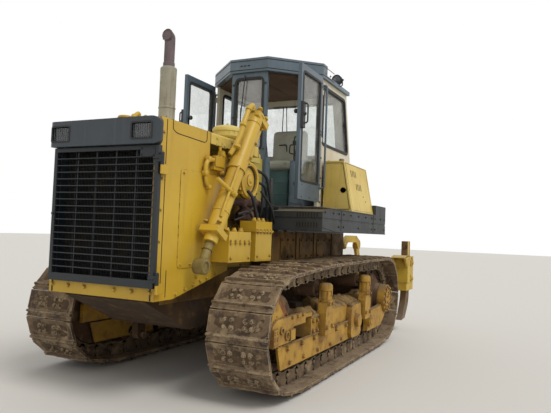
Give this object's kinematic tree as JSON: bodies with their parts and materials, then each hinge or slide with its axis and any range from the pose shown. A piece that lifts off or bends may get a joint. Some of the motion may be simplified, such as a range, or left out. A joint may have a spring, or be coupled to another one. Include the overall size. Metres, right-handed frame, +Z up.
{
  "type": "crawler bulldozer with ripper, blade removed",
  "caption": "Crawler bulldozer with slanted-front cab, open doors, hinged grille, bare lift cylinders and a rear ripper on parallel links; the blade is missing.",
  "frame": {"origin": "on the ground under the middle of the machine's overall box", "axes": "+X forward to the nose, +Y to the machine's left, +Z up"},
  "size_m": [5.86, 2.68, 3.605],
  "materials": {
    "track_steel": "dusty rolled steel with worn bars",
    "rusty_iron": "rust with caked dust",
    "frame_paint": "worn yellow paint over rust",
    "hull_paint": "grimy yellow paint",
    "engine_paint": "oily yellow paint",
    "radiator_metal": "matt black core",
    "body_paint": "sun-faded yellow enamel",
    "black_paint": "dusty black enamel",
    "cab_paint": "blue-grey enamel",
    "cream_paint": "cream enamel",
    "console_paint": "grey enamel",
    "lamp_glass": "lamp lens",
    "window_glass": "clear pane",
    "black_plastic": "moulded lamp housing",
    "seat_vinyl": "worn beige vinyl",
    "rod_chrome": "chromed rod",
    "worn_steel": "ground-worn steel"
  },
  "bodies": {
    "chassis": {"track_left": "track_steel", "track_right": "track_steel", "sprockets": "rusty_iron", "idlers": "rusty_iron", "bottom_rollers": "rusty_iron", "carrier_rollers": "rusty_iron", "track_frames": "frame_paint", "final_drives": "frame_paint", "main_frame": "hull_paint", "equalizer_bar": "hull_paint", "under_guard": "hull_paint", "engine_block": "engine_paint", "radiator_core": "radiator_metal", "radiator_guard": "body_paint", "nose_band": "black_paint", "head_lamps": "lamp_glass", "hood": "body_paint", "exhaust_stack": "rusty_iron", "precleaner": "body_paint", "air_cleaner": "body_paint", "side_boxes": "body_paint", "cylinder_yokes": "body_paint", "fender_left": "black_paint", "fender_right": "black_paint", "cab_floor": "black_paint", "cab_front": "cab_paint", "cab_side_left": "cream_paint", "cab_side_right": "cream_paint", "cab_rear": "cream_paint", "cab_roof": "cab_paint", "cab_glass": "window_glass", "work_lamps": "black_plastic", "seat": "seat_vinyl", "consoles": "console_paint", "side_tanks": "body_paint", "ripper_bracket": "body_paint"},
    "grille": {"grille_door": "black_paint"},
    "left_door": {"door_left": "cab_paint", "door_glass_left": "window_glass"},
    "right_door": {"door_right": "cab_paint", "door_glass_right": "window_glass"},
    "left_lift_tube": {"lift_tube_left": "body_paint"},
    "right_lift_tube": {"lift_tube_right": "body_paint"},
    "left_lift_rod": {"lift_rod_left": "rod_chrome"},
    "right_lift_rod": {"lift_rod_right": "rod_chrome"},
    "ripper_arm_frame": {"ripper_arms": "body_paint"},
    "ripper_upper_links": {"ripper_links": "body_paint"},
    "ripper_toolbar": {"ripper_beam": "body_paint", "ripper_shanks": "worn_steel"},
    "ripper_cylinder_tubes": {"ripper_tubes": "body_paint"},
    "ripper_cylinder_rods": {"ripper_rods": "rod_chrome"}
  },
  "joints": [
    {"name": "grille_swing", "type": "hinge", "parent": "chassis", "child": "grille", "pos_m": [2.866, 0.6, 1.5], "axis": [0, 0, 1], "range_deg": [0, 90]},
    {"name": "left_door_swing", "type": "hinge", "parent": "chassis", "child": "left_door", "pos_m": [-0.00511, 0.77316, 2.6], "axis": [0, 0, 1], "range_deg": [-47.1, 85]},
    {"name": "right_door_swing", "type": "hinge", "parent": "chassis", "child": "right_door", "pos_m": [-0.00511, -0.77316, 2.6], "axis": [0, 0, -1], "range_deg": [-47.1, 85]},
    {"name": "left_lift_swing", "type": "hinge", "parent": "chassis", "child": "left_lift_tube", "pos_m": [1.86, 0.7, 2.06], "axis": [0, -1, 0], "range_deg": [-5, 29]},
    {"name": "left_lift_slide", "type": "slide", "parent": "left_lift_tube", "child": "left_lift_rod", "axis": [0.515, 0, -0.8572], "range_m": [0, 0.95]},
    {"name": "right_lift_swing", "type": "hinge", "parent": "chassis", "child": "right_lift_tube", "pos_m": [1.86, -0.7, 2.06], "axis": [0, -1, 0], "range_deg": [-5, 29]},
    {"name": "right_lift_slide", "type": "slide", "parent": "right_lift_tube", "child": "right_lift_rod", "axis": [0.515, 0, -0.8572], "range_m": [0, 0.95]},
    {"name": "ripper_lift", "type": "hinge", "parent": "chassis", "child": "ripper_arm_frame", "pos_m": [-1.66, 0, 0.62], "axis": [0, 1, 0], "range_deg": [-30, 28]},
    {"name": "ripper_upper_turn", "type": "hinge", "parent": "chassis", "child": "ripper_upper_links", "pos_m": [-1.66, 0, 1.3], "axis": [0, 1, 0], "range_deg": [-30, 28]},
    {"name": "ripper_bar_turn", "type": "hinge", "parent": "ripper_arm_frame", "child": "ripper_toolbar", "pos_m": [-2.4, 0, 0.62], "axis": [0, 1, 0], "range_deg": [-28, 30]},
    {"name": "ripper_tube_turn", "type": "hinge", "parent": "chassis", "child": "ripper_cylinder_tubes", "pos_m": [-1.62, 0, 1.24], "axis": [0, 1, 0], "range_deg": [-15.47, 14.47]},
    {"name": "ripper_rod_slide", "type": "slide", "parent": "ripper_cylinder_tubes", "child": "ripper_cylinder_rods", "axis": [-0.7399, 0, -0.6727], "range_m": [-0.209, 0.2237]}
  ],
  "couplings": [
    {"joint": "ripper_upper_turn", "follows": "ripper_lift", "ratio": 1},
    {"joint": "ripper_bar_turn", "follows": "ripper_lift", "ratio": -1},
    {"joint": "ripper_tube_turn", "follows": "ripper_lift", "ratio": 0.499},
    {"joint": "ripper_rod_slide", "follows": "ripper_lift", "m_per_rad": -0.4235}
  ]
}
